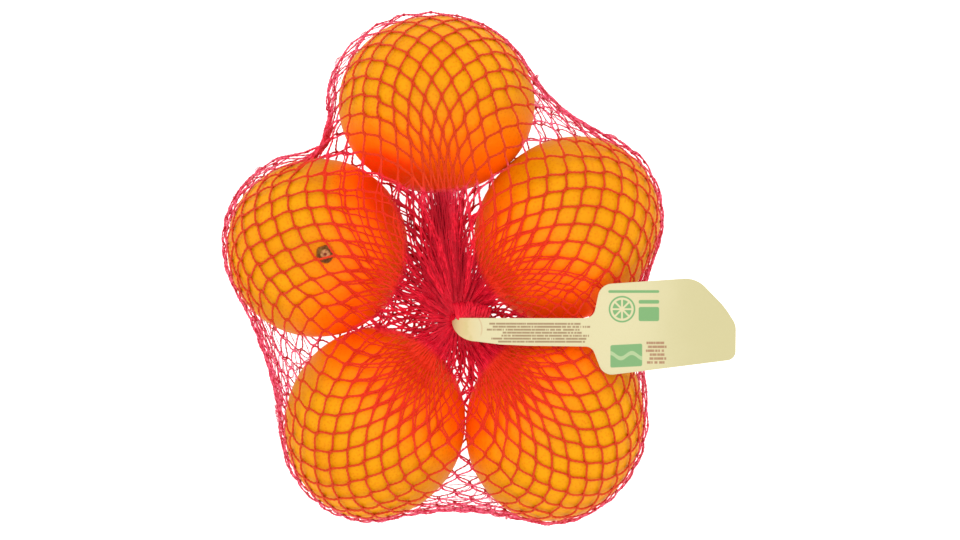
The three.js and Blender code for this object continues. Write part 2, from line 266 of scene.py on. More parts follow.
def peel_material():
    material, spot = new_material(
        "orange_peel",
        IOR=1.42,
        Specular_IOR_Level=0.1,
        # Painted glow: the peel gives off a little light of its own on its side towards the tied end.
        Emission_Strength=0.1,
    )
    broad = spot.noise(28.0)
    fine = spot.noise(420.0)
    pit = spot.node("ShaderNodeTexVoronoi", Vector=spot, Scale=760.0).ramp(0.0, 0.55)
    side = spot.attribute("gather_side")
    # Painted shade: the peel turns a deeper red-orange on its side towards the tied end, and reddest in
    # the narrow gaps, for shade and red light from the netting.
    deep = side.ramp(-0.05, 0.85)
    deepest = side.ramp(0.85, 1.45)
    base = broad.ramp(0.3, 0.72).mix(colour_of(212, 133, 0), colour_of(218, 145, 0))
    warmed = deepest.mix(deep.mix(base, colour_of(255, 104, 2)), colour_of(232, 44, 6))
    mottled = (fine.ramp(0.35, 0.75) * (0.3 - 0.25 * deep)).mix(warmed, colour_of(220, 151, 6))
    feed(
        material,
        Base_Color=(pit * 0.4 + 0.6).mix(colour_of(198, 85, 0), mottled),
        Roughness=0.42 + fine * 0.16,
        Normal=spot.bump(0.35, 0.0003, pit * 0.6 + fine * 0.4),
        # Painted glow: orange light given off where the peel faces the tied end, for light scattered
        # through the peel.
        Emission_Color=deep.mix(colour_of(0, 0, 0), colour_of(255, 110, 0)),  # light from peel to peel
    )
    return material


peel = peel_material()
for name, (middle, half, turn, stem) in FRUITS.items():
    fruit = orange(f"orange_{name}", middle, half, turn, stem)
    fruit.data.materials.append(peel)
    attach(fruit, "root")
    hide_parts("net_bag")

# ---- Stem buttons ------------------------------------------------------------------------------
# The dried green-brown button that a picked orange keeps in its stem dip: a five-lobed woody rim
# round a paler, sunken scar where the stem broke off.

BUTTON_RADIUS = 3.8
BUTTON_HEIGHT = 2.0
BUTTON_LIFT = 0.1  # of the button's middle, over the bottom of the dip
BUTTON_SIDES = 40
BUTTON_STEPS = [(0.35, 0.35), (0.70, 0.12), (0.50, -0.45), (0.55, -0.20), (0.50, 0.16)]  # inset, lift
LOBES = 5
LOBE_DEPTH = 0.06  # of the button's radius
LOBE_DROP = 0.25  # of each lobe's tip towards the peel
SCAR_SHARE = 0.3  # of the radius, round all the way
DIP_POINTS = 6  # points of the peel whose middle is the bottom of the dip


def button_material():
    material, spot = new_material("dried_stem", Roughness=0.8, Specular_IOR_Level=0.25)
    grain = spot.noise(900.0, 4.0)
    rim = grain.ramp(0.35, 0.65).mix(colour_of(88, 48, 12), colour_of(124, 84, 26))
    inner = grain.ramp(0.35, 0.65).mix(colour_of(146, 88, 52), colour_of(190, 136, 86))
    across = spot.attribute("from_middle")
    scar = across.ramp(0.10, 0.22).mix(colour_of(116, 44, 26), inner)
    colour = across.ramp(0.44, 0.58).mix(scar, rim)
    edged = across.ramp(0.86, 1.0).mix(colour, colour_of(150, 78, 14))
    feed(material, Base_Color=edged, Normal=spot.bump(0.6, 0.0004, grain))
    return material


def stem_button(name, fruit, middle, half, turn, stem):
    bpy.ops.mesh.primitive_cylinder_add(
        vertices=BUTTON_SIDES, radius=BUTTON_RADIUS * MM, depth=BUTTON_HEIGHT * MM
    )
    button = bpy.context.object
    button.name = button.data.name = name
    select_none("FACE")
    for face in button.data.polygons:
        face.select = face.normal.z > 0.9
    bpy.ops.object.mode_set(mode="EDIT")
    for inset, lift in BUTTON_STEPS:
        bpy.ops.mesh.inset(thickness=inset * MM)
        bpy.ops.transform.translate(value=(0, 0, lift * MM))
    bpy.ops.mesh.poke()
    bpy.ops.object.mode_set(mode="OBJECT")
    points = piece_points(button)
    share = np.linalg.norm(points[:, :2], axis=1) / (BUTTON_RADIUS * MM)
    lobes = np.cos(LOBES * np.arctan2(points[:, 1], points[:, 0]))
    points[:, :2] *= (1 + LOBE_DEPTH * share * lobes * (share > SCAR_SHARE))[:, None]
    points[:, 2] -= LOBE_DROP * MM * share**2 * lobes
    set_piece_points(button, points)
    set_attribute(button.data, "from_middle", share)
    rounding = button.modifiers.new("rounding", "SUBSURF")
    rounding.levels = rounding.render_levels = 1
    bpy.ops.object.modifier_apply(modifier=rounding.name)
    pole = np.array(stem) / np.linalg.norm(stem) * half
    cos, sin = math.cos(turn), math.sin(turn)
    aim = np.array([pole[0] * cos - pole[1] * sin, pole[0] * sin + pole[1] * cos, pole[2]])
    pole_place = (fruit_middle(middle, half) + PLACE + aim) * MM
    peel_points = piece_points(fruit)
    nearest = np.linalg.norm(peel_points - pole_place, axis=1).argsort()[:DIP_POINTS]
    dip = peel_points[nearest].mean(axis=0)
    outward = unit(aim)
    button.rotation_euler = turn_to(outward)
    button.location = dip + outward * BUTTON_LIFT * MM
    set_in_place()
    bpy.ops.object.shade_smooth()
    return button


dried_stem = button_material()
for name, (middle, half, turn, stem) in FRUITS.items():
    fruit = bpy.data.objects[f"orange_{name}"]
    button = stem_button(f"stem_button_{name}", fruit, middle, half, turn, stem)
    button.data.materials.append(dried_stem)
    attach(button, "root")
    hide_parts("net_bag")

# ---- Netting -----------------------------------------------------------------------------------
# A knitted tube of thin red plastic strands, filled and drawn tight. Each strand is three
# thin filaments twisted together. Neighbouring strands zigzag and are caught together at joints.

NET_COLUMNS = 48
NET_ROWS = 39
CELL_SIDE = 8.1
STRAND_STANDOFF = 0.8  # from the peel to the strand's middle
GATHER_RADIUS = 4.0
BOTTOM_GATHER = np.array([-15.0, 3.0, 20.0])
LOOSE_FOLDS = [  # shift from the fruit's middle, growth, half height
    ((-3.5, 0.1), 0.7, 18),
    ((-0.2, 1.2), 0.3, 20),
    ((0.8, 0.6), 0.2, 16),
    ((-0.9, 0.0), 0.3, 16),
    ((-0.5, 2.6), 0.3, 20),
]
TUCKS = [(-76.6, 58.2, 13.0), (45.2, 84.2, 20.0)]  # rods that press the net in: x, y, radius
TUCK_TRAVEL = 60
TUCK_TIME = 0.5  # share of the passes
PASSES = 2500
START_RADIUS = 125
START_HALF_HEIGHT = 55
SMOOTHING_START = 0.15
SMOOTHING_END = 0.012
SMOOTHING_FADE = 0.8  # share of the passes
STRAND_STIFFNESS = 0.15  # against being pushed together, 1 against being pulled apart

fruit_bodies = [
    (fruit_middle(middle, half), np.array(half), turn)
    for middle, half, turn, stem in FRUITS.values()
]
fold_bodies = [
    (centre + [*shift, 0], np.array([half[0] + grow, half[1] + grow, half_height]), turn)
    for (centre, half, turn), (shift, grow, half_height) in zip(fruit_bodies, LOOSE_FOLDS)
]
bag_middle = np.mean([centre[:2] for centre, half, turn in fruit_bodies], axis=0)
rows = np.arange(NET_ROWS + 1)[:, None]
ring_angles = 2 * np.pi * (np.arange(NET_COLUMNS)[None, :] + 0.5 * (rows % 2)) / NET_COLUMNS


def ring(centre, radius, angles):
    return np.stack(
        [
            centre[0] + radius * np.cos(angles),
            centre[1] + radius * np.sin(angles),
            np.full(angles.shape, float(centre[2])),
        ],
        -1,
    )


def push_out(points, body, margin):
    """Points inside an egg-shaped body move straight out to its surface."""
    centre, half, turn = body
    cos, sin = math.cos(turn), math.sin(turn)
    reach = half + margin
    away = points - centre
    u = (away[..., 0] * cos + away[..., 1] * sin) / reach[0]
    v = (-away[..., 0] * sin + away[..., 1] * cos) / reach[1]
    w = away[..., 2] / reach[2]
    depth = np.maximum(np.sqrt(u * u + v * v + w * w), 1e-6)
    inside = depth < 1
    grow = np.where(inside, 1 / depth, 1.0)
    u, v, w = u * grow * reach[0], v * grow * reach[1], w * grow * reach[2]
    moved = centre + np.stack([u * cos - v * sin, u * sin + v * cos, w], -1)
    return np.where(inside[..., None], moved, points)


def tuck_in(joints, tuck, still_out):
    """A rod, still some way out from its last place, presses the netting in."""
    last = np.array(tuck[:2])
    rod = last + unit(last - bag_middle) * still_out
    away = joints[..., :2] - rod
    gap = np.maximum(np.linalg.norm(away, axis=-1, keepdims=True), 1e-6)
    joints[..., :2] = rod + away * np.maximum(tuck[2] / gap, 1)


def slanted(joints, row_parity):
    """The joints one row on that a slanted side leads to."""
    return np.roll(joints, 1 if row_parity == 0 else -1, axis=1)


def starting_net():
    share = rows / NET_ROWS
    bulge = np.sin(np.pi * share)
    axis = TOP_GATHER[:2] * (1 - share)[..., None] + BOTTOM_GATHER[:2] * share[..., None]
    wide = ring((*bag_middle, 0), START_RADIUS, ring_angles)[..., :2]
    flat = axis * (1 - bulge)[..., None] + wide * bulge[..., None]
    height = fruit_bodies[0][0][2] + START_HALF_HEIGHT * np.cos(np.pi * share)
    return np.dstack([flat, np.broadcast_to(height, ring_angles.shape)])


def hold_ends(joints):
    joints[0] = ring(TOP_GATHER, GATHER_RADIUS, ring_angles[0])
    joints[-1] = ring(BOTTOM_GATHER, GATHER_RADIUS, ring_angles[-1])


def smooth_net(joints, amount):
    mean = np.zeros_like(joints)
    for parity in (0, 1):
        inner = np.arange(1 + (parity + 1) % 2, NET_ROWS, 2)
        near = slanted(joints, parity)
        mean[inner] = (joints[inner - 1] + near[inner - 1] + joints[inner + 1] + near[inner + 1]) / 4
    joints[1:-1] += amount * (mean[1:-1] - joints[1:-1])


def keep_side_lengths(joints):
    for parity in (0, 1):
        start = np.arange(parity, NET_ROWS, 2)
        for slants in (False, True):
            far = slanted(joints[start + 1], parity) if slants else joints[start + 1]
            side = far - joints[start]
            length = np.maximum(np.linalg.norm(side, axis=-1, keepdims=True), 1e-6)
            error = (length - CELL_SIDE) / length
            move = side * error * np.where(error > 0, 0.5, 0.5 * STRAND_STIFFNESS)
            joints[start] += move
            joints[start + 1] -= slanted(move, 1 - parity) if slants else move


def tight_net():
    joints = starting_net()
    hold_ends(joints)
    for step in range(PASSES):
        done = step / PASSES
        smooth_net(joints, SMOOTHING_END + SMOOTHING_START * max(0, 1 - done / SMOOTHING_FADE))
        keep_side_lengths(joints)
        for tuck in TUCKS:
            tuck_in(joints, tuck, TUCK_TRAVEL * max(0, 1 - done / TUCK_TIME))
        for body in fruit_bodies + fold_bodies:
            joints = push_out(joints, body, STRAND_STANDOFF)
        joints[..., 2] = np.maximum(joints[..., 2], STRAND_STANDOFF)
        hold_ends(joints)
    return joints


joints = tight_net()

FILAMENTS = 3
FILAMENT_RADIUS = 0.26
FILAMENT_OFFSET = 0.32  # of each filament from the strand's middle
SLACK_OFFSET = 0.32  # further apart where a strand hangs slack
FILAMENT_SIDES = 4
THINNING = 0.34  # of strands that hang free
THIN_REACH = (46.0, 66.0)  # no thinning and all of it at these distances from the tied end
TWIST_PITCH = 5.2
JOINT_LENGTH = 1.2
JOINT_SPREAD = 0.30  # half the distance between two strands that are caught together
STRAND_BEND = 0.38  # how far into a side the turn at its joint reaches
SIDE_STEPS = 6
MOST_SPREAD = 0.3  # of the distance between joints, where the net is bunched
MOST_BUCKLE = 1.8
BUCKLE_LEAN = 0.45 * np.pi  # from straight out, to either side
CALM_REACH = (52.0, 84.0)  # straight and fully slack at these distances from the tied end
CALM_BUCKLE = 0.9  # how much of the buckle and of the looseness goes where strands are straight
CALM_LOOSENESS = 0.8
NET_PANELS = 6  # pieces of the outer netting, side by side
FLOOR_GAP = 0.02
# Over the fruit, seen from above, the strands are painted orange-red: painted light from the peel
# beneath. The same distances also set where strands count as hanging free.
PEEL_GLOW = (-2.5, 1.0)  # strands this far outside a fruit, seen from above: full glow and none
LONG_GAPS = [(2.22, 0.24, 0.8), (0.13, 0.24, 0.5)]  # between fruits: direction, width, extra reach
rng = np.random.default_rng(21)


def outside_fruit(points):
    """How far points are outside the outline of the nearest fruit, seen from above."""
    nearest = np.full(points.shape[:-1], np.inf)
    for centre, half, turn in fruit_bodies:
        cos, sin = math.cos(turn), math.sin(turn)
        away = points - centre
        u = (away[..., 0] * cos + away[..., 1] * sin) / half[0]
        v = (-away[..., 0] * sin + away[..., 1] * cos) / half[1]
        nearest = np.minimum(nearest, (np.sqrt(u * u + v * v) - 1) * half.mean())
    return nearest


def nearness(points, reach):
    """1 near the tied end to 0 far from it. It runs on along the narrow gaps between fruits."""
    away = points[..., :2] - TOP_GATHER[:2]
    stretch = 1.0
    for direction, width, more in LONG_GAPS:
        off = np.angle((away[..., 0] + 1j * away[..., 1]) / np.exp(1j * direction)) / width
        stretch = stretch + more * np.exp(-(off**2))
    return np.clip((reach[1] - np.linalg.norm(away, axis=-1) / stretch) / (reach[1] - reach[0]), 0, 1)


def joint_directions(joints):
    """At each joint: down the tube, along the round, and out."""
    lower = np.empty_like(joints)
    upper = np.empty_like(joints)
    for parity in (0, 1):
        mine = np.arange(parity, NET_ROWS + 1, 2)
        down = np.minimum(mine + 1, NET_ROWS)
        up = np.maximum(mine - 1, 0)
        lower[mine] = (joints[down] + slanted(joints[down], parity)) / 2
        upper[mine] = (joints[up] + slanted(joints[up], parity)) / 2
    lower[-1], upper[0] = joints[-1], joints[0]
    down = unit(lower - upper)
    along = np.roll(joints, -1, axis=1) - np.roll(joints, 1, axis=1)
    gap = np.linalg.norm(along, axis=-1, keepdims=True) / 2
    along = unit(along - down * (along * down).sum(-1, keepdims=True))
    return down, along, np.cross(down, along), gap


def zigzags(values):
    """Rows of joints to rows of strands: one set swings forward from each joint, one set back."""
    back = values.copy()
    back[1::2] = np.roll(values[1::2], 1, axis=1)
    return np.concatenate([values, back], axis=1)


def strand_lines(joints):
    """The middle line of every strand, its outward side, and how slack it is at each point."""
    down, along, out, gap = joint_directions(joints)
    spots, down, along, out, gap = (zigzags(v) for v in (joints, down, along, out, gap))
    side = np.ones((NET_ROWS + 1, 2 * NET_COLUMNS, 1))
    side[1::2, :NET_COLUMNS] = -1
    side[0::2, NET_COLUMNS:] = -1
    spread = np.minimum(JOINT_SPREAD, MOST_SPREAD * gap)
    start = (spots + JOINT_LENGTH / 2 * down + side * spread * along)[:-1]
    end = (spots - JOINT_LENGTH / 2 * down + side * spread * along)[1:]
    reach = np.linalg.norm(spots[1:] - spots[:-1], axis=-1, keepdims=True)
    span = np.linalg.norm(end - start, axis=-1, keepdims=True)
    slack = np.maximum(CELL_SIDE - reach, 0)
    buckle = np.minimum(2 / np.pi * np.sqrt(reach * slack), MOST_BUCKLE)
    calm = nearness((start + end) / 2, CALM_REACH)[..., None]
    buckle *= 1 - CALM_BUCKLE * calm
    lean = rng.uniform(-BUCKLE_LEAN, BUCKLE_LEAN, buckle.shape)
    way = np.cos(lean) * out[:-1] + np.sin(lean) * along[:-1]
    lines, normals, loose = [], [], []
    for t in np.linspace(0, 1, SIDE_STEPS):
        h0, h1 = 2 * t**3 - 3 * t**2 + 1, t**3 - 2 * t**2 + t
        h2, h3 = 3 * t**2 - 2 * t**3, t**3 - t**2
        bend = STRAND_BEND * span
        line = h0 * start + h1 * bend * down[:-1] + h2 * end + h3 * bend * down[1:]
        lines.append(line + buckle * math.sin(math.pi * t) * way)
        normals.append((1 - t) * out[:-1] + t * out[1:])
        loose.append(np.minimum(slack, 1) * (1 - CALM_LOOSENESS * calm) * math.sin(math.pi * t) ** 0.5)
    shape = (NET_ROWS * SIDE_STEPS, 2 * NET_COLUMNS, -1)
    lines, normals, loose = (np.stack(v, 1).reshape(shape) for v in (lines, normals, loose))
    for body in fruit_bodies:
        lines = push_out(lines, body, STRAND_STANDOFF)
    lines[..., 2] = np.maximum(lines[..., 2], STRAND_STANDOFF)
    return lines.swapaxes(0, 1), unit(normals.swapaxes(0, 1)), loose.swapaxes(0, 1)


def tubes(lines, across, over, radius, sides):
    """Round tubes with closed ends along many lines: points, four-sided faces, end faces."""
    count, steps = lines.shape[:2]
    angles = 2 * np.pi * np.arange(sides) / sides
    around = (
        across[:, :, None] * np.cos(angles)[None, None, :, None]
        + over[:, :, None] * np.sin(angles)[None, None, :, None]
    )
    points = (lines[:, :, None] + radius * around).reshape(-1, 3)
    place = np.arange(count * steps * sides).reshape(count, steps, sides)
    following = np.roll(place, -1, axis=2)
    quads = np.stack(
        [place[:, :-1], following[:, :-1], following[:, 1:], place[:, 1:]], -1
    ).reshape(-1, 4)
    caps = np.concatenate([place[:, 0, ::-1], place[:, -1]])
    return points, quads, caps


def joined_mesh(name, parts):
    """One mesh from many sets of points and faces."""
    points, loops, sizes, base = [], [], [], 0
    for spots, *face_sets in parts:
        for faces in face_sets:
            loops.append((faces + base).ravel())
            sizes.append(np.full(len(faces), faces.shape[1]))
        points.append(spots)
        base += len(spots)
    points, loops, sizes = (np.concatenate(values) for values in (points, loops, sizes))
    points[:, 2] = np.maximum(points[:, 2], FLOOR_GAP)
    mesh = bpy.data.meshes.new(name)
    mesh.vertices.add(len(points))
    mesh.vertices.foreach_set("co", ((points + PLACE) * MM).ravel())
    mesh.loops.add(len(loops))
    mesh.loops.foreach_set("vertex_index", loops.astype(np.int32))
    mesh.polygons.add(len(sizes))
    starts = np.concatenate([[0], np.cumsum(sizes)[:-1]])
    mesh.polygons.foreach_set("loop_start", starts.astype(np.int32))
    mesh.update(calc_edges=True)
    mesh.validate()
    mesh.polygons.foreach_set("use_smooth", np.ones(len(sizes), bool))
    # over_peel: where the painted light from the peel goes on the strands.
    set_attribute(mesh, "over_peel", np.interp(outside_fruit(points), PEEL_GLOW, (1, 0)))
    piece = bpy.data.objects.new(name, mesh)
    bpy.context.scene.collection.objects.link(piece)
    return piece


def line_frames(lines, normals):
    tangent = unit(np.gradient(lines, axis=1))
    across = unit(np.cross(normals, tangent))
    return across, np.cross(tangent, across)


def twisted_filaments(lines, normals, loose, phase, size=1.0):
    """Three filaments round each line, thinner where they hang free and far from the tied end."""
    hanging = np.interp(outside_fruit(lines), PEEL_GLOW, (0, 1)) * (1 - nearness(lines, THIN_REACH))
    size = size * (1 - THINNING * hanging)[..., None]
    steps = np.linalg.norm(np.diff(lines, axis=1), axis=-1)
    run = np.concatenate([np.zeros((len(lines), 1)), np.cumsum(steps, axis=1)], axis=1)
    across, over = line_frames(lines, normals)
    offset = size * FILAMENT_OFFSET + SLACK_OFFSET * loose
    parts = []
    for filament in range(FILAMENTS):
        turned = 2 * np.pi * (run / TWIST_PITCH + filament / FILAMENTS) + phase[:, None]
        angle = turned[..., None]
        middle = lines + offset * (np.cos(angle) * across + np.sin(angle) * over)
        parts.append(tubes(middle, over, across, size[..., None] * FILAMENT_RADIUS, FILAMENT_SIDES))
    return parts


# Painted shade: strands darken in the folds of the bunched netting, more on the +y side of the tied end,
# and turn deep red where bunched, for the shade between packed layers.
PLEATS = (9.0, 0.03)  # dark folds of the bunched netting: scale round and away from the tied end
PLEAT_REACH = (75.0, 45.0)  # none and all of them at these distances from it
DASHES = (45.0, 0.4)
BUNCHED_REACH = (72.0, 38.0)


def millimetres_from(spot, origin):
    """x and y in millimetres from a place, which is given without the part's shift."""
    wires = []
    for axis in (0, 1):
        along = spot.node("ShaderNodeSeparateXYZ", output=axis, _0=spot)
        wires.append(along * (1 / MM) - float(origin[axis] + PLACE[axis]))
    return wires


def length_of(x, y):
    return (x * x + y * y).maths("SQRT")


def netting_material():
    """Pinkish single strands, deep red with painted shade where bunched and folded, and orange-red
    painted light from the peel where they lie over the fruit.
    """
    material, spot = new_material("red_netting", Roughness=0.42, IOR=1.49, Specular_IOR_Level=0.2)
    x, y = millimetres_from(spot, TOP_GATHER)
    reach = length_of(x, y)
    around = y.maths("ARCTAN2", x)
    pleat, dash = (
        x.node("ShaderNodeCombineXYZ", _0=around * turns, _1=reach * along).noise(1.0, detail)
        for (turns, along), detail in ((PLEATS, 2.0), (DASHES, 1.0))
    )
    # Painted shade in the folds.
    fold = pleat.ramp(0.62, 0.38) * reach.ramp(*PLEAT_REACH)
    deep = fold * (y.ramp(0.0, 25.0) * 0.6 + 0.4)
    stretch = 1.0
    for direction, width, more in LONG_GAPS:
        off = (around - direction) / width
        stretch = (off * off * -1.0).maths("EXPONENT") * more + stretch
    near = (reach / stretch).ramp(*BUNCHED_REACH)
    sheen = spot.noise(700.0, 1.0).ramp(0.35, 0.65)
    single = sheen.mix(colour_of(198, 16, 54), colour_of(242, 104, 136))
    # Deep red of the packed strands: painted shade between layers, broken into dashes.
    bunched = dash.ramp(0.36, 0.64).mix(colour_of(200, 0, 30), colour_of(238, 30, 58))
    hanging = deep.mix(near.mix(single, bunched), colour_of(168, 0, 26))
    # Painted light from the peel: orange-red strands over the fruit.
    over_peel = near.mix(colour_of(206, 60, 10), colour_of(220, 42, 10))
    feed(material, Base_Color=spot.attribute("over_peel").ramp(0.0, 1.0).mix(hanging, over_peel))
    return material


WRAP_STEPS = 8
WRAP_TURNS = 1.25
WRAP_RADIUS = 0.24
WRAP_LENGTH = 1.1
WRAP_SIDES = 4
WRAP_ROOM = (0.1, 0.15)  # beside and over the two strands that it holds


def joint_wraps(joints, columns):
    """A short coil round the two strands at each joint."""
    down, along, out, gap = joint_directions(joints)
    pick = (slice(1, NET_ROWS), columns)
    spots = joints[pick].reshape(-1, 1, 3)
    down, along, out, gap = (v[pick].reshape(-1, 1, v.shape[-1]) for v in (down, along, out, gap))
    wide = np.minimum(JOINT_SPREAD, MOST_SPREAD * gap) + FILAMENT_OFFSET + WRAP_ROOM[0]
    high = FILAMENT_OFFSET + WRAP_ROOM[1]
    t = np.linspace(0, 1, WRAP_STEPS)[None, :, None]
    angle = 2 * np.pi * WRAP_TURNS * t
    line = (
        spots
        + wide * np.cos(angle) * along
        + high * np.sin(angle) * out
        + (t - 0.5) * WRAP_LENGTH * down
    )
    tangent = unit(np.gradient(line, axis=1))
    radial = unit(np.cos(angle) * along + np.sin(angle) * out)
    across = unit(np.cross(tangent, radial))
    over = np.cross(across, tangent)
    return tubes(line, across, over, WRAP_RADIUS, WRAP_SIDES)


FOLD_REACH = (56.0, 66.0)  # full and no folds at these distances from the tied end
FREE_FROM = -1.0  # netting this far outside every fruit, seen from above, is free to fold
FREE_AT = 4.0
FOLD_DEPTH = 2.0
FOLDS_PER_COLUMN = 0.31
FOLD_WANDER = [(1.3, 0.45, 1), (0.6, 0.9, 2)]  # how far folds wander, how fast, and times the turn
OVER_FRUIT_REACH = (26.0, 56.0)
RIM_REACH = (60.0, 72.0)
RIM_CLEAR = (1.0, 5.0)  # none and all of the rim's second layer this far outside the fruits
LAYERS = [  # shift along the round and in rows, fold depth, what it covers, strand size
    (0.27, 0.45, 1.6, "middle", 0.75),
    (0.5, 0.0, 0.6, "over fruit", 0.62),
    (0.83, 0.7, 3.6, "middle", 0.75),
    (0.5, 0.5, 0.0, "rim", 0.66),
]
LAYER_LIFT = 1.1  # each layer runs this much higher up the neck of the tied end
LAYER_INSET = 0.7  # and starts this much closer to its middle
LAYER_TURN = 2.1  # of its folds against those of the layer before
LEAST_APART = 0.02


def freedom(joints):
    """0 over the fruit to 1 where netting hangs free near the tied end."""
    clear = (outside_fruit(joints) - FREE_FROM) / (FREE_AT - FREE_FROM)
    return nearness(joints, FOLD_REACH) * np.clip(clear, 0, 1)


def layer_share(cover):
    """How far apart from the outer netting a layer lies, 0 where the two are one."""
    if cover == "over fruit":
        share = nearness(joints, OVER_FRUIT_REACH)
    elif cover == "rim":
        clear = (outside_fruit(joints) - RIM_CLEAR[0]) / (RIM_CLEAR[1] - RIM_CLEAR[0])
        share = np.clip(clear, 0, 1) * (1 - nearness(joints, RIM_REACH))
    else:
        share = freedom(joints)
    return share * share * (3 - 2 * share)


def moved_along(joints, columns, rows_on):
    """The net's joints slid along its own surface, each by its own parts of a cell."""
    place = np.arange(NET_COLUMNS)[None, :] + 0.5 * (rows % 2) + columns
    slid = []
    for step in (0, 1):
        row = np.minimum(rows + step, NET_ROWS)
        along = place - 0.5 * (row % 2)
        first = np.floor(along).astype(int)
        share = (along - first)[..., None]
        near, far = joints[row, first % NET_COLUMNS], joints[row, (first + 1) % NET_COLUMNS]
        slid.append(near * (1 - share) + far * share)
    return slid[0] * (1 - rows_on[..., None]) + slid[1] * rows_on[..., None]


def folded(joints, depth, turn):
    """Presses the free netting in, in folds that run down the tube."""
    place = np.arange(NET_COLUMNS)[None, :] + 0.5 * (rows % 2)
    wander = sum(far * np.sin(pace * rows + times * turn) for far, pace, times in FOLD_WANDER)
    wave = 0.5 + 0.5 * np.sin(2 * np.pi * FOLDS_PER_COLUMN * place + wander + turn)
    out = joint_directions(joints)[2]
    pressed = joints - (depth * freedom(joints) * wave)[..., None] * out
    for body in fruit_bodies:
        pressed = push_out(pressed, body, STRAND_STANDOFF)
    pressed[..., 2] = np.maximum(pressed[..., 2], STRAND_STANDOFF)
    hold_ends(pressed)
    return pressed


def add_netting(name, parts):
    piece = joined_mesh(name, parts)
    piece.data.materials.append(netting)
    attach(piece, "root")
    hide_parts("net_bag")


netting = netting_material()
outer = folded(joints, FOLD_DEPTH, 0.0)
lines, normals, loose = strand_lines(outer)
phase = rng.uniform(0, 2 * np.pi, len(lines))
for panel in range(NET_PANELS):
    first, last = (NET_COLUMNS * k // NET_PANELS for k in (panel, panel + 1))
    chosen = np.r_[first:last, NET_COLUMNS + first:NET_COLUMNS + last]
    parts = twisted_filaments(lines[chosen], normals[chosen], loose[chosen], phase[chosen])
    parts.append(joint_wraps(outer, np.arange(first, last)))
    add_netting(f"netting_{panel + 1}", parts)

for number, (columns, rows_on, depth, cover, size) in enumerate(LAYERS, 1):
    share = layer_share(cover)
    slid = moved_along(joints, columns * share, rows_on * share)
    layer = folded(slid, depth, LAYER_TURN * number)
    if cover != "rim":
        top = TOP_GATHER + [0, 0, LAYER_LIFT * number]
        layer[0] = ring(top, GATHER_RADIUS - LAYER_INSET * number, ring_angles[0])
    apart = zigzags(share[..., None])[..., 0] > LEAST_APART
    strands = strand_lines(layer)
    parts = []
    for strand in range(2 * NET_COLUMNS):
        changes = np.flatnonzero(np.diff(np.concatenate([[False], apart[:, strand], [False]])))
        for first, last in changes.reshape(-1, 2):
            if last - first > 1 and (cover == "rim" or first == 0):
                run = slice(max(first - 1, 0) * SIDE_STEPS, last * SIDE_STEPS)
                values = (value[strand:strand + 1, run] for value in strands)
                parts += twisted_filaments(*values, rng.uniform(0, 2 * np.pi, 1), size)
    add_netting(f"folded_netting_{number}", parts)

# ---- Tied ends ---------------------------------------------------------------------------------
# Every strand of the tube runs on through a crimped metal band and out into a short, flattened
# tail of spare netting. The two bands are the solids of the frame, of soft drawn aluminium.

TOP_NECK = [  # from the tied end through the band: x, y, z, half width, half thickness
    (-8.5, -21.2, 49.0, 3.5, 3.2),
    (-7.4, -22.0, 52.6, 2.8, 2.3),
    (-4.6, -23.3, 56.6, 2.8, 2.3),
]
TOP_TAIL = [
    *TOP_NECK,
    (-2.4, -23.3, 58.3, 3.3, 2.1),
    (-1.0, -21.2, 58.7, 4.6, 1.9),
    (-0.2, -17.6, 58.6, 5.6, 1.6),
    (0.6, -14.0, 58.0, 6.0, 1.3),
]
TOP_TAIL_BACK = [  # the part of the spare netting that falls back over the band
    *TOP_NECK,
    (-3.2, -22.8, 58.4, 3.0, 1.6),
    (-2.8, -20.8, 59.2, 2.8, 1.0),
    (-5.2, -18.6, 58.8, 4.4, 1.0),
    (-5.6, -15.8, 57.2, 4.8, 1.0),
    (-6.4, -13.8, 55.2, 5.0, 1.0),
]
BOTTOM_TAIL = [
    (-15.0, 3.0, 18.6, 3.4, 3.2),
    (-14.8, 3.1, 15.6, 2.8, 2.3),
    (-14.0, 3.4, 10.4, 2.8, 2.3),
    (-12.6, 4.0, 8.4, 4.0, 2.2),
    (-9.6, 5.2, 6.6, 5.2, 1.8),
    (-5.8, 6.6, 5.8, 5.8, 1.3),
]
TAIL_STEPS = 26
TAIL_RADIUS = 0.34
TAIL_SIDES = 5
TAIL_CUT = 0.12  # the strands' cut ends fall short by up to this share
TAIL_FILL = (0.12, 1.0)  # strands lie between these shares of the tail's section
TAIL_DRIFT = 0.25  # how far a strand works round to either side


def spline_through(knots, shares):
    """A smooth curve through a row of points, read at shares of its length."""
    knots = np.asarray(knots, float)
    padded = np.concatenate([2 * knots[:1] - knots[1:2], knots, 2 * knots[-1:] - knots[-2:-1]])
    where = np.clip(shares * (len(knots) - 1), 0, len(knots) - 1 - 1e-9)
    k = where.astype(int)
    t = (where - k)[..., None]
    a, b, c, d = (padded[k + n] for n in range(4))
    return 0.5 * (
        2 * b + (c - a) * t + (2 * a - 5 * b + 4 * c - d) * t**2 + (3 * b - a - 3 * c + d) * t**3
    )


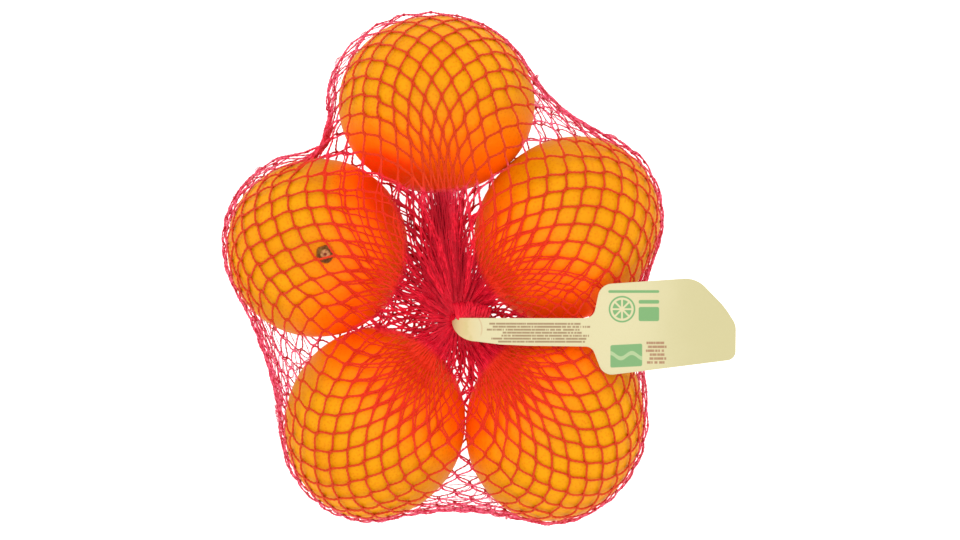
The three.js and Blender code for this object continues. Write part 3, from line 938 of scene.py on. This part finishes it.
def tail(stations, gather_row):
    """The strands of one end row, led through the band's oval and out into the tail."""
    stations = np.array(stations)
    reach = stations[-1, :3] - stations[0, :3]
    level = unit(np.array([-reach[1], reach[0], 0.0]))
    middle = gather_row.mean(axis=0)
    radial = gather_row - middle
    angles = np.arctan2(radial[:, 1], radial[:, 0])
    count = len(gather_row)
    depth = np.sqrt(rng.uniform(*TAIL_FILL, count))
    drift = rng.uniform(-TAIL_DRIFT, TAIL_DRIFT, count)
    tangents = unit(np.gradient(stations[:, :3], axis=0))
    knots = [gather_row]
    for k, station in enumerate(stations):
        across = unit(level - tangents[k] * (level @ tangents[k]))
        third = np.cross(across, tangents[k])
        turned = angles + drift * k / len(stations)
        wide = (station[3] - TAIL_RADIUS) * depth * np.cos(turned)
        thick = (station[4] - TAIL_RADIUS) * depth * np.sin(turned)
        knots.append(station[:3] + wide[:, None] * across + thick[:, None] * third)
    knots = np.stack(knots)
    shares = np.linspace(0, 1, TAIL_STEPS)[:, None] * (1 - rng.uniform(0, TAIL_CUT, count))
    lines = np.stack([spline_through(knots[:, k], shares[:, k]) for k in range(count)])
    normals = np.broadcast_to(level, lines.shape)
    across, over = line_frames(lines, normals)
    return tubes(lines, over, across, TAIL_RADIUS, TAIL_SIDES)


def band_material():
    material, spot = new_material("crimped_aluminium", Metallic=1.0)
    drawn = spot.node("ShaderNodeMapping", Vector=spot, Scale=(1.0, 1.0, 0.12))
    worn = spot.noise(500.0)
    colour = worn.ramp(0.3, 0.7).mix(colour_of(176, 178, 182), colour_of(214, 215, 218))
    bump = spot.bump(0.4, 0.0001, drawn.noise(2600.0, 3.0))
    feed(material, Base_Color=colour, Roughness=0.28 + worn * 0.22, Normal=bump)
    return material


for name, stations, gather_row in (
    ("net_tail_top", TOP_TAIL, lines[:, 0]),
    ("net_tail_top_back", TOP_TAIL_BACK, lines[:, 0]),
    ("net_tail_bottom", BOTTOM_TAIL, lines[:, -1]),
):
    add_netting(name, [tail(stations, gather_row)])

aluminium = band_material()
for name in ("top_clip", "bottom_clip"):
    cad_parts[name].material_slots[0].material = aluminium

# ---- Card label --------------------------------------------------------------------------------
# Stiff uncoated cream card, die-cut with a strap that is caught in the tied end and widens to a
# head. It is bent as it lies over the fruit and printed with plain fields of green and brown.

CARD_THICKNESS = 0.6
CARD_EDGE = 0.1
STRAP_AXIS_Y = -25.7
STRAP_WIDTH = 11.6
STRAP_TOP = STRAP_AXIS_Y + STRAP_WIDTH / 2
STRAP_LOW = STRAP_AXIS_Y - STRAP_WIDTH / 2
TIP = (-10.6, -21.2)
TIP_SWEEP_END = (-1.0, -29.5)  # where the tip's quarter round meets the lower edge
TIP_SHOULDER = 2.2
TIP_STEPS = 10
STRAP_TAPER = [(8.8, -30.7), (20.0, -31.2)]  # of the lower edge, past the quarter round
CARD_CORNERS = [  # x, y, how far back from the corner the rounding starts
    (46.4, STRAP_LOW, 2.5),
    (51.0, -43.4, 4.0),
    (105.5, -36.9, 3.2),
    (105.6, -22.6, 2.0),
    (100.7, -15.1, 3.0),
    (89.0, -3.4, 4.5),
    (49.8, -6.1, 4.2),
    (46.9, STRAP_TOP, 3.4),
]
CARD_PROFILE = [  # height of the card's middle along its length: x, z
    (-10.6, 55.4),
    (-8.8, 59.0),
    (-4.6, 62.2),
    (4.0, 63.8),
    (18.0, 65.8),
    (44.0, 68.1),
    (62.0, 68.5),
    (82.0, 66.5),
    (105.6, 61.8),
]
PROFILE_STEPS = 400
CORNER_STEPS = 6
CARD_ROLL = 0.06  # slope across the head, up towards +Y
CUP = ((-3.2, -25.4), (4.4, 3.6), 0.9)  # dent in the strap's end: middle, half sizes, depth
STRIP = 1.6  # width of the strips that the card is bent in
LEAST_STRIP = 0.3 * STRIP
EDGE_ANGLE = 1.0  # edges sharper than this, in radians, are rounded
SMOOTH_ANGLE = 0.7


def card_height(points):
    """Height of the card's middle over the floor at x, y."""
    profile = spline_through(CARD_PROFILE, np.linspace(0, 1, PROFILE_STEPS))
    height = np.interp(points[:, 0], profile[:, 0], profile[:, 1])
    towards_head = np.clip(points[:, 0] / CARD_CORNERS[0][0], 0, 1)
    (cup_x, cup_y), (half_x, half_y), depth = CUP
    dent = ((points[:, 0] - cup_x) / half_x) ** 2 + ((points[:, 1] - cup_y) / half_y) ** 2
    rolled = CARD_ROLL * towards_head * (points[:, 1] - STRAP_AXIS_Y)
    return height + rolled - depth * np.exp(-dent)


def card_label():
    sweep = np.linspace(math.pi, 1.5 * math.pi, TIP_STEPS)
    end_x, end_y = TIP_SWEEP_END
    reach = end_x - TIP[0], TIP[1] - end_y
    tip = [(end_x + reach[0] * math.cos(a), TIP[1] + reach[1] * math.sin(a)) for a in sweep]
    corners = [corner[:2] for corner in CARD_CORNERS]
    outline = tip + STRAP_TAPER + corners + [(TIP[0] + TIP_SHOULDER, STRAP_TOP)]
    bpy.ops.mesh.primitive_circle_add(vertices=len(outline), radius=1, fill_type="NGON")
    card = bpy.context.object
    card.name = card.data.name = "card_label"
    order = list(card.data.polygons[0].vertices)
    points = piece_points(card)
    points[order] = [(x, y, 0.0) for x, y in outline]
    set_piece_points(card, points)
    for x, y, back in CARD_CORNERS:
        near = np.linalg.norm(piece_points(card)[:, :2] - (x, y), axis=1)
        select_none("VERT")
        card.data.vertices[int(near.argmin())].select = True
        bpy.ops.object.mode_set(mode="EDIT")
        bpy.ops.mesh.bevel(affect="VERTICES", offset=back, segments=CORNER_STEPS)
        bpy.ops.object.mode_set(mode="OBJECT")
    bpy.ops.object.mode_set(mode="EDIT")
    low, high = piece_points(card)[:, :2].min(axis=0), piece_points(card)[:, :2].max(axis=0)
    for axis in (0, 1):
        normal = (1, 0, 0) if axis == 0 else (0, 1, 0)
        for place in np.arange(low[axis] + STRIP, high[axis] - LEAST_STRIP, STRIP):
            bpy.ops.mesh.select_all(action="SELECT")
            bpy.ops.mesh.bisect(plane_co=np.multiply(normal, place), plane_no=normal)
    bpy.ops.object.mode_set(mode="OBJECT")
    points = piece_points(card)
    points[:, 2] = card_height(points)
    set_piece_points(card, (points + PLACE) * MM)
    bpy.ops.object.mode_set(mode="EDIT")
    bpy.ops.mesh.select_all(action="SELECT")
    bpy.ops.mesh.normals_make_consistent(inside=False)
    bpy.ops.object.mode_set(mode="OBJECT")
    wall = card.modifiers.new("thickness", "SOLIDIFY")
    wall.thickness = CARD_THICKNESS * MM
    wall.offset = 0
    wall.use_even_offset = True
    bpy.ops.object.modifier_apply(modifier=wall.name)
    edge = card.modifiers.new("cut edge", "BEVEL")
    edge.width = CARD_EDGE * MM
    edge.segments = 2
    edge.limit_method = "ANGLE"
    edge.angle_limit = EDGE_ANGLE
    bpy.ops.object.modifier_apply(modifier=edge.name)
    bpy.ops.object.shade_smooth_by_angle(angle=SMOOTH_ANGLE)
    points = piece_points(card) / MM - PLACE
    above = (points[:, 2] - card_height(points)) / (CARD_THICKNESS / 2)
    set_attribute(card.data, "upper_side", above)
    return card


PRINT_EDGE = 0.12  # how softly the print's fields end
STRAP_BARS = (3.4, -21.6, 42.6, 1.22, 7, 6.5)  # left, top, width, pitch, count, raggedness
HEAD_BARS = (68.4, -29.2, 8.6, 1.6, 6, 1.6)
GREEN_FIELDS = [  # middle, half sizes, corner radius
    ((69.6, -18.2), (4.2, 2.9), 0.8),
    ((69.6, -13.2), (4.2, 0.75), 0.6),
    ((63.4, -9.0), (10.4, 0.55), 0.5),
]
SLICE_MIDDLE = (58.6, -16.2)  # of the disc like a cut fruit, with its segments and its rim
SLICE_SEGMENTS = 8
SEGMENT_REACH = (0.7, 1.1, 3.7, 4.0)  # distances at which they fade in and out
SLICE_RIM = (4.7, 4.8, 5.4, 5.5)
SPOKE_WIDTH = (0.28, 0.48)
PLATE = ((60.4, -35.2), (6.5, 4.6), 0.7)
PLATE_SLOPE = 0.05
PLATE_WAVE = (0.7, 1.1, (0.75, 0.9))  # radians a millimetre, height, half width
# Painted shade: the cream darkens towards the head's end, where the card bends down away from the light.
HEAD_SHADE_RUN = (100.0, 50.0)  # along x, from the head's end to the strap
WARMER_RUN = (3.0, -8.0)  # along x, towards the tip
# The crease and the hollow on the strap's cupped end are painted shade: a darker line and a darker
# patch.
CREASE = ((-6.6, -24.4), 8.0)  # round the strap's cupped end: middle and radius
HOLLOW_X = -4.2
BAR_SEEDS = (0.3, 50.3)  # for the left and the right ends


def field(x, y, middle, half, corner):
    """1 inside a rounded rectangle."""
    over_x = ((x - middle[0]).maths("ABSOLUTE") - (half[0] - corner)).maths("MAXIMUM", 0.0)
    over_y = ((y - middle[1]).maths("ABSOLUTE") - (half[1] - corner)).maths("MAXIMUM", 0.0)
    return (length_of(over_x, over_y) - corner).ramp(PRINT_EDGE, -PRINT_EDGE)


def bars(x, y, left, top, width, pitch, count, ragged):
    """A stack of thin level bars with ragged ends and small breaks."""
    down = (top - y) / pitch
    row = down.maths("FLOOR")
    inside_row = (down - row - 0.5).maths("ABSOLUTE").ramp(0.40, 0.24)
    seeds = [x.node("ShaderNodeTexWhiteNoise", {"noise_dimensions": "1D"}, W=row + k) for k in BAR_SEEDS]
    begin = x.maths("GREATER_THAN", left + ragged * seeds[0])
    end = (left + width - ragged * seeds[1]).maths("GREATER_THAN", x)
    stack = down.maths("GREATER_THAN", 0.0) * (count - down).maths("GREATER_THAN", 0.0)
    place = x.node("ShaderNodeCombineXYZ", _0=x * 1.5, _1=row * 7.3)
    broken = place.noise(1.0, 1.0).ramp(0.34, 0.42)
    return inside_row * begin * end * stack * broken


def band(value, reach):
    """1 between two distances, with an edge from none to all at each."""
    return value.ramp(reach[0], reach[1]) * value.ramp(reach[3], reach[2])


def fruit_slice(x, y):
    """1 on the segments and the rim of a cut fruit's disc."""
    across, up = x - SLICE_MIDDLE[0], y - SLICE_MIDDLE[1]
    radius = length_of(across, up)
    turn = up.maths("ARCTAN2", across) * (SLICE_SEGMENTS / (2 * math.pi))
    from_spoke = (turn - turn.maths("ROUND")).maths("ABSOLUTE") * radius * (2 * math.pi / SLICE_SEGMENTS)
    segments = from_spoke.ramp(*SPOKE_WIDTH) * band(radius, SEGMENT_REACH)
    return segments.maths("MAXIMUM", band(radius, SLICE_RIM))


def paper_colour(spot, x, y, fibre):
    """Speckled cream, darker at the head's end with painted shade, warmer at the strap's cupped end,
    with a crease line and a soft hollow there that are both painted shade.
    """
    # Painted shade: darker cream towards the head's end.
    tone = (spot.noise(70.0) * 0.3 + x.ramp(*HEAD_SHADE_RUN) * 0.7).ramp(0.1, 0.9)
    cream = tone.mix(colour_of(181, 173, 129), colour_of(193, 185, 145))
    speckled = (fibre.ramp(0.5, 0.8) * 0.25).mix(cream, colour_of(177, 166, 115))
    paper = (x.ramp(*WARMER_RUN) * 0.6).mix(speckled, colour_of(198, 172, 113))
    (crease_x, crease_y), crease_radius = CREASE
    across, up = x - crease_x, y - crease_y
    off_crease = (length_of(across, up) - crease_radius).maths("ABSOLUTE")
    crease = off_crease.ramp(0.42, 0.05) * up.ramp(-3.4, -1.6) * across.ramp(2.0, 5.0)
    hollow = spot.noise(240.0).ramp(0.42, 0.62) * (x - HOLLOW_X).maths("ABSOLUTE").ramp(4.0, 0.5)
    # Painted shade along the crease and in the hollow.
    paper = (crease * 0.4).mix(paper, colour_of(172, 120, 89))
    return (hollow * 0.35).mix(paper, colour_of(174, 159, 96))


def printed_colour(x, y, paper):
    """The paper with its print: brown bars, green fields, a fruit slice and a plate with a wave."""
    printed = (bars(x, y, *STRAP_BARS) * 0.8).mix(paper, colour_of(131, 98, 68))
    green = fruit_slice(x, y)
    for middle, half, corner in GREEN_FIELDS:
        green = green.maths("MAXIMUM", field(x, y, middle, half, corner))
    plate_x, plate_y = PLATE[0]
    plate = field(x, y - (x - plate_x) * PLATE_SLOPE, *PLATE)
    pace, high, (solid, clear) = PLATE_WAVE
    off_wave = (y - plate_y - ((x - plate_x) * pace).maths("SINE") * high).maths("ABSOLUTE")
    wave = off_wave.ramp(clear, solid)
    printed = green.mix(printed, colour_of(107, 150, 96))
    printed = plate.mix(printed, colour_of(109, 150, 98))
    printed = (plate * wave * 0.5).mix(printed, colour_of(185, 194, 150))
    return (bars(x, y, *HEAD_BARS) * 0.75).mix(printed, colour_of(139, 85, 61))


def card_material():
    material, spot = new_material("cream_card", Roughness=0.62, Specular_IOR_Level=0.3)
    x, y = millimetres_from(spot, (0.0, 0.0))
    fibre = spot.noise(2200.0, 3.0)
    paper = paper_colour(spot, x, y, fibre)
    upper_side = spot.attribute("upper_side").ramp(0.1, 0.5)
    card_colour = upper_side.mix(paper, printed_colour(x, y, paper))
    feed(material, Base_Color=card_colour, Normal=spot.bump(0.25, 0.00015, fibre))
    return material


card = card_label()
card.data.materials.append(card_material())
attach(card, "root")
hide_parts("label")

# ---- Floor, light and camera -------------------------------------------------------------------
# A plain white floor and a plain white surround, with one large soft lamp almost overhead. The
# camera looks straight down, so that the tied end and the label are in the middle of the view.

FLOOR_SIZE = 6
SURROUND_LIGHT = 1.35
LAMP_SIZE = 1.2
LAMP_POWER = 8
LAMP_PLACE = (-0.2, 0.05, 1.7)
MID_HEIGHT = 0.0375
CAMERA_DISTANCE = 1.4
CAMERA_PLACE = (0.00123, -0.00084, MID_HEIGHT + CAMERA_DISTANCE)
VIEW_WIDTH = 0.401  # what the picture shows across, at the fruits' middle height
SENSOR_WIDTH = 36
WHITE = (1, 1, 1, 1)

bpy.ops.mesh.primitive_plane_add(size=FLOOR_SIZE, location=(0, 0, 0))
floor = bpy.context.object
floor.name = "floor"
floor_white = new_material(
    "floor_white",
    Base_Color=(0.4, 0.4, 0.4, 1),
    Roughness=0.9,
    Emission_Color=WHITE,
    Emission_Strength=1.1,
)[0]
floor.data.materials.append(floor_white)

world = bpy.data.worlds.new("studio")
world.use_nodes = True
background = world.node_tree.nodes["Background"]
background.inputs["Color"].default_value = WHITE
background.inputs["Strength"].default_value = SURROUND_LIGHT
bpy.context.scene.world = world

softbox = bpy.data.lights.new("softbox", "AREA")
softbox.shape = "SQUARE"
softbox.size = LAMP_SIZE
softbox.energy = LAMP_POWER
lamp = bpy.data.objects.new("softbox", softbox)
lamp.location = LAMP_PLACE
lamp.rotation_euler = Vector(LAMP_PLACE).to_track_quat("Z", "Y").to_euler()
bpy.context.scene.collection.objects.link(lamp)

lens = bpy.data.cameras.new("view")
lens.sensor_width = SENSOR_WIDTH
lens.lens = SENSOR_WIDTH * CAMERA_DISTANCE / VIEW_WIDTH
camera = bpy.data.objects.new("view", lens)
camera.location = CAMERA_PLACE
bpy.context.scene.collection.objects.link(camera)
bpy.context.scene.camera = camera
bpy.context.scene.view_settings.view_transform = "Standard"
